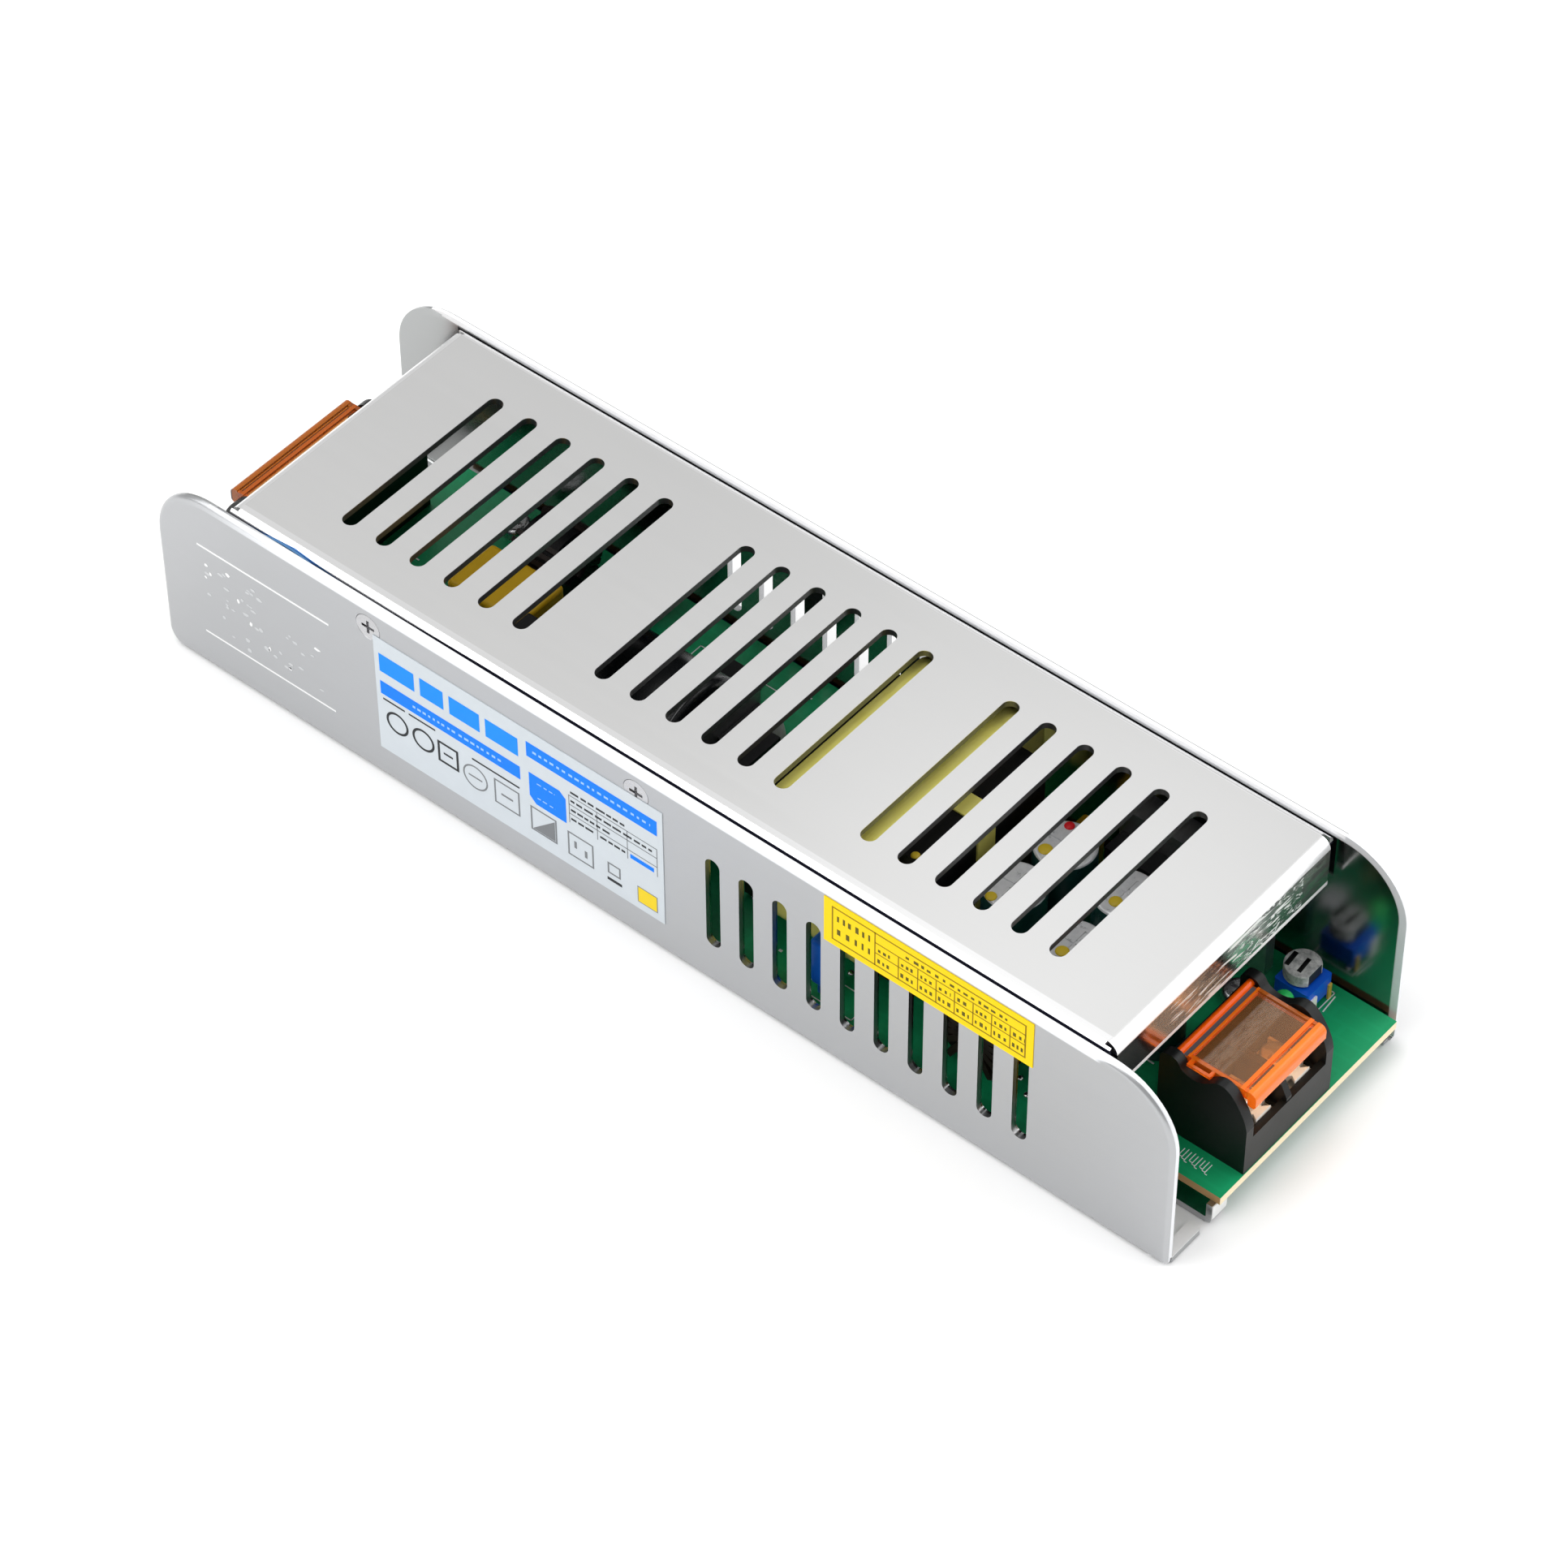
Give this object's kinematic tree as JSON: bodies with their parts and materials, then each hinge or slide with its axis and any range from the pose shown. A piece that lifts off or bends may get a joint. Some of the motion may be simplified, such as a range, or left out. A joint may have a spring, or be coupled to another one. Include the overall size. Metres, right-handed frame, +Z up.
{
  "type": "led power supply",
  "caption": "Slim enclosed switch-mode power supply for LED lighting: folded aluminium case with slotted cover, flip-cover screw terminals at both ends and an output trimmer.",
  "frame": {"origin": "middle of the case's underside", "axes": "+X towards the two-pole output end, +Y towards the unlabelled wall, +Z up through the cover"},
  "size_m": [0.2014, 0.0577, 0.0372],
  "materials": {
    "sheet_aluminium": "satin",
    "cover_aluminium": "brushed",
    "screw_steel": "bright",
    "blue_film": "clear film",
    "green_board": "solder mask",
    "black_plastic": "satin moulded",
    "orange_clear": "clear tinted plastic",
    "tinned_metal": "tinned",
    "trimmer_blue": "satin moulded",
    "trimmer_white": "moulded",
    "lamp_green": "clear epoxy",
    "fuse_ceramic": "matt",
    "disc_blue": "dipped epoxy",
    "disc_green": "dipped coat",
    "film_yellow": "moulded case",
    "ferrite": "ferrite",
    "copper_wire": "enamelled copper",
    "phenolic_black": "moulded",
    "epoxy_black": "moulded",
    "can_sleeve_black": "shrink sleeve",
    "can_sleeve_green": "shrink sleeve",
    "heatsink_aluminium": "extruded",
    "tape_yellow": "polyester tape",
    "resistor_tan": "lacquer",
    "silicone_grey": "cured silicone",
    "label_white": "printed foil",
    "label_yellow": "printed foil"
  },
  "bodies": {
    "base": {"chassis": "sheet_aluminium", "cover": "cover_aluminium", "cover_screws": "screw_steel", "insulating_sheet": "blue_film", "circuit_board": "green_board", "board_standoffs": "screw_steel", "board_screws": "screw_steel", "output_block": "black_plastic", "output_terminal_screws": "tinned_metal", "output_clamp_plates": "tinned_metal", "output_contacts": "tinned_metal", "input_block": "black_plastic", "input_terminal_screws": "tinned_metal", "input_clamp_plates": "tinned_metal", "input_contacts": "tinned_metal", "trimmer_body": "trimmer_blue", "status_lamp": "lamp_green", "fuse": "fuse_ceramic", "fuse_clips": "tinned_metal", "varistor": "disc_blue", "inrush_thermistor": "disc_green", "line_capacitor": "film_yellow", "filter_choke_core": "ferrite", "filter_choke_coils": "copper_wire", "filter_choke_base": "phenolic_black", "suppression_capacitors": "disc_blue", "bridge_rectifier": "epoxy_black", "storage_capacitor": "can_sleeve_black", "switch_heatsink": "heatsink_aluminium", "switch_transistors": "epoxy_black", "controller_chips": "epoxy_black", "transformer_core": "ferrite", "transformer_winding": "tape_yellow", "transformer_base": "phenolic_black", "core_tape": "tape_yellow", "output_heatsink": "heatsink_aluminium", "output_rectifiers": "epoxy_black", "output_capacitors": "can_sleeve_green", "output_choke_core": "ferrite", "output_choke_coil": "copper_wire", "small_resistors": "resistor_tan", "film_capacitors": "film_yellow", "glue_blobs": "silicone_grey", "rating_label": "label_white", "selector_sticker": "label_yellow"},
    "output_lid": {"output_flap": "orange_clear"},
    "input_lid": {"input_flap": "orange_clear"},
    "dial": {"trimmer_dial": "trimmer_white"}
  },
  "joints": [
    {"name": "output_flap_hinge", "type": "hinge", "parent": "base", "child": "output_lid", "pos_m": [0.08645, -0.00085, 0.0208], "axis": [0, -1, 0], "range_deg": [0, 78]},
    {"name": "input_flap_hinge", "type": "hinge", "parent": "base", "child": "input_lid", "pos_m": [-0.08645, 0.0012, 0.0208], "axis": [0, 1, 0], "range_deg": [0, 85]},
    {"name": "trimmer_turn", "type": "hinge", "parent": "base", "child": "dial", "pos_m": [0.0865, 0.0217, 0.0115], "axis": [0, 0, 1], "range_deg": [-130, 130]}
  ]
}
